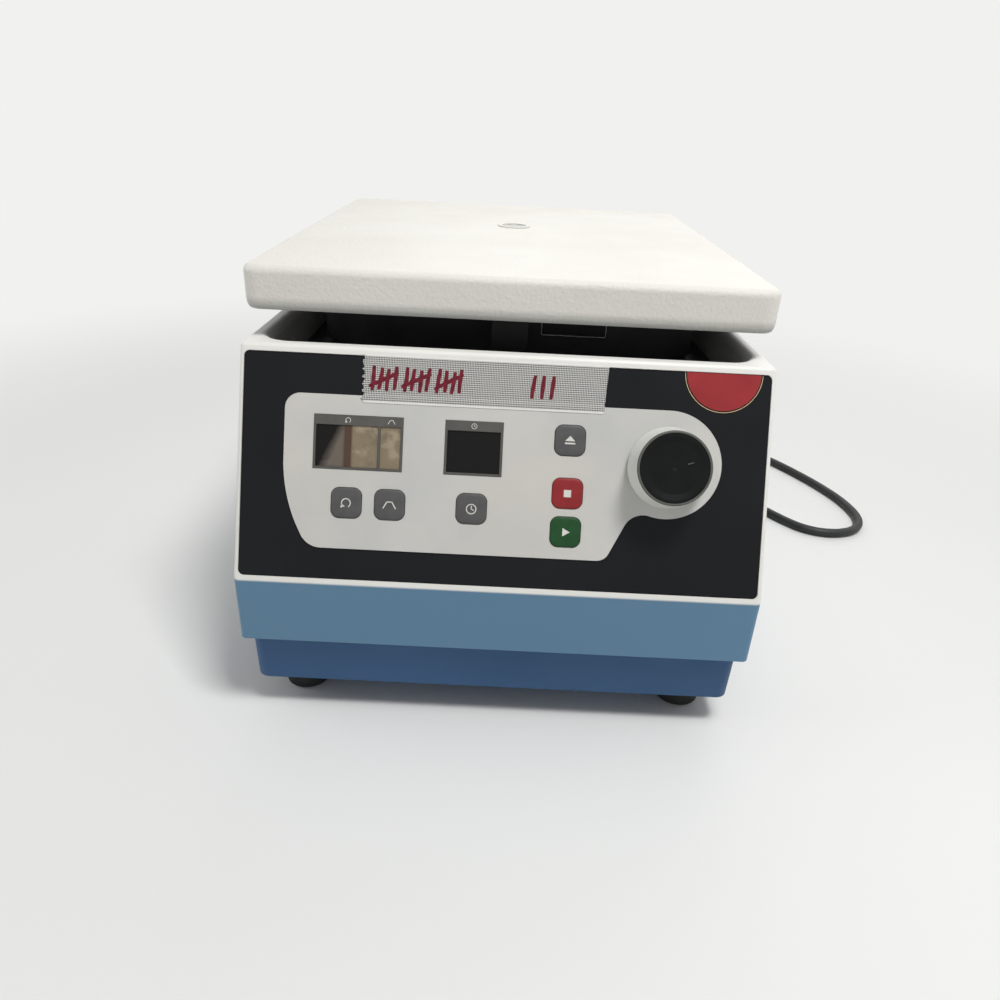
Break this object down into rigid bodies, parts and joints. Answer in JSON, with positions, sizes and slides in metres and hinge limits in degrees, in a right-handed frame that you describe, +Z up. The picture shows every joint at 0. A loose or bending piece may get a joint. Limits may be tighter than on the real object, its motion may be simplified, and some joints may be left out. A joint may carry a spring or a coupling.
{
  "type": "bench-top centrifuge",
  "caption": "Compact bench-top centrifuge: flat hinged lid over a round chamber with an angle rotor, sloped dark control panel with displays, keys and a knob, rubber feet and a mains lead.",
  "frame": {"origin": "on the table, under the middle of the case", "axes": "+Z up; +Y towards the rear of the case, so the control panel faces -Y; +X to the user's right"},
  "size_m": [0.4676, 0.5016, 0.243],
  "materials": {
    "case_white": "fine-grained off-white moulding",
    "base_grey": "fine-grained light grey moulding",
    "rubber": "black rubber",
    "steel": "plain steel",
    "front_plate": "semi-gloss charcoal film",
    "field": "satin light grey film",
    "bezel_grey": "satin warm grey",
    "display_glass": "polished dark display window",
    "key_red": "satin red key and inlay",
    "board": "green circuit board",
    "black_plastic": "black moulding",
    "deck_black": "matt black",
    "bowl_steel": "spun stainless steel",
    "alloy": "machined aluminium",
    "copper": "copper windings on a steel core",
    "black_steel": "black lacquered steel",
    "sight_glass": "clear sight glass",
    "rotor_alloy": "anodised aluminium",
    "knob_black": "satin black",
    "knob_grey": "satin light grey",
    "key_grey": "satin grey keys",
    "key_green": "satin green key",
    "cord_rubber": "black flexible sheath"
  },
  "bodies": {
    "case": {"housing": "case_white", "base_pan": "base_grey", "feet": "rubber", "pan_screws": "steel", "fascia": "front_plate", "control_field": "field", "display_bezels": "bezel_grey", "display_windows": "display_glass", "red_inlay": "key_red", "control_board": "board", "display_modules": "black_plastic", "key_switches": "black_plastic", "encoder": "steel", "deck_plate": "deck_black", "deck_screws": "steel", "chamber_bowl": "bowl_steel", "bowl_gasket": "rubber", "motor_housing": "alloy", "stator": "copper", "motor_bearings": "steel", "motor_plate": "steel", "motor_mounts": "rubber", "mount_bolts": "steel", "latch_body": "black_plastic", "latch_motor": "steel", "hinge_brackets": "black_steel", "hinge_pins": "steel", "power_board": "board", "heat_sink": "alloy", "capacitors": "black_plastic", "rear_panel": "base_grey", "mains_inlet": "black_plastic", "fuse_drawer": "black_plastic", "switch_frame": "black_plastic", "cord_connector": "cord_rubber", "cord_tube": "cord_rubber", "cord_coil": "cord_rubber", "cord_plug": "cord_rubber"},
    "lid": {"lid_shell": "case_white", "lid_liner": "deck_black", "sight_window": "sight_glass", "sight_ring": "case_white", "striker": "black_steel", "hinge_lugs": "steel", "lid_screws": "steel"},
    "rotor": {"drive_shaft": "alloy", "motor_magnets": "black_steel", "rotor_head": "rotor_alloy", "rotor_nut": "knob_black"},
    "bolt": {"latch_bolt": "steel"},
    "knob": {"knob_skirt": "knob_grey", "knob_cap": "knob_black", "encoder_shaft": "steel"},
    "key_speed": {"key_speed": "key_grey"},
    "key_ramp": {"key_ramp": "key_grey"},
    "key_time": {"key_time": "key_grey"},
    "key_lid": {"key_lid": "key_grey"},
    "key_stop": {"key_stop": "key_red"},
    "key_start": {"key_start": "key_green"},
    "mains_rocker": {"switch_rocker": "black_plastic"}
  },
  "joints": [
    {"name": "lid_hinge", "type": "hinge", "parent": "case", "child": "lid", "pos_m": [0, 0.184, 0.2085], "axis": [-1, 0, 0], "range_deg": [0, 78]},
    {"name": "rotor_spin", "type": "hinge", "parent": "case", "child": "rotor", "pos_m": [0, 0.058, 0.12], "axis": [0, 0, 1], "continuous": true},
    {"name": "latch_slide", "type": "slide", "parent": "case", "child": "bolt", "axis": [0, 1, 0], "range_m": [0, 0.012]},
    {"name": "knob_turn", "type": "hinge", "parent": "case", "child": "knob", "pos_m": [0.0855, -0.16188, 0.1521], "axis": [0, -0.9158, 0.4017], "continuous": true},
    {"name": "key_speed_press", "type": "slide", "parent": "case", "child": "key_speed", "axis": [0, 0.9158, -0.4017], "range_m": [0, 0.0008], "stiffness_N_per_m": 1000, "springref_m": -0.0003},
    {"name": "key_ramp_press", "type": "slide", "parent": "case", "child": "key_ramp", "axis": [0, 0.9158, -0.4017], "range_m": [0, 0.0008], "stiffness_N_per_m": 1000, "springref_m": -0.0003},
    {"name": "key_time_press", "type": "slide", "parent": "case", "child": "key_time", "axis": [0, 0.9158, -0.4017], "range_m": [0, 0.0008], "stiffness_N_per_m": 1000, "springref_m": -0.0003},
    {"name": "key_lid_press", "type": "slide", "parent": "case", "child": "key_lid", "axis": [0, 0.9158, -0.4017], "range_m": [0, 0.0008], "stiffness_N_per_m": 1000, "springref_m": -0.0003},
    {"name": "key_stop_press", "type": "slide", "parent": "case", "child": "key_stop", "axis": [0, 0.9158, -0.4017], "range_m": [0, 0.0008], "stiffness_N_per_m": 1000, "springref_m": -0.0003},
    {"name": "key_start_press", "type": "slide", "parent": "case", "child": "key_start", "axis": [0, 0.9158, -0.4017], "range_m": [0, 0.0008], "stiffness_N_per_m": 1000, "springref_m": -0.0003},
    {"name": "mains_switch", "type": "hinge", "parent": "case", "child": "mains_rocker", "pos_m": [0.022, 0.181, 0.09], "axis": [-1, 0, 0], "range_deg": [0, 22]}
  ]
}
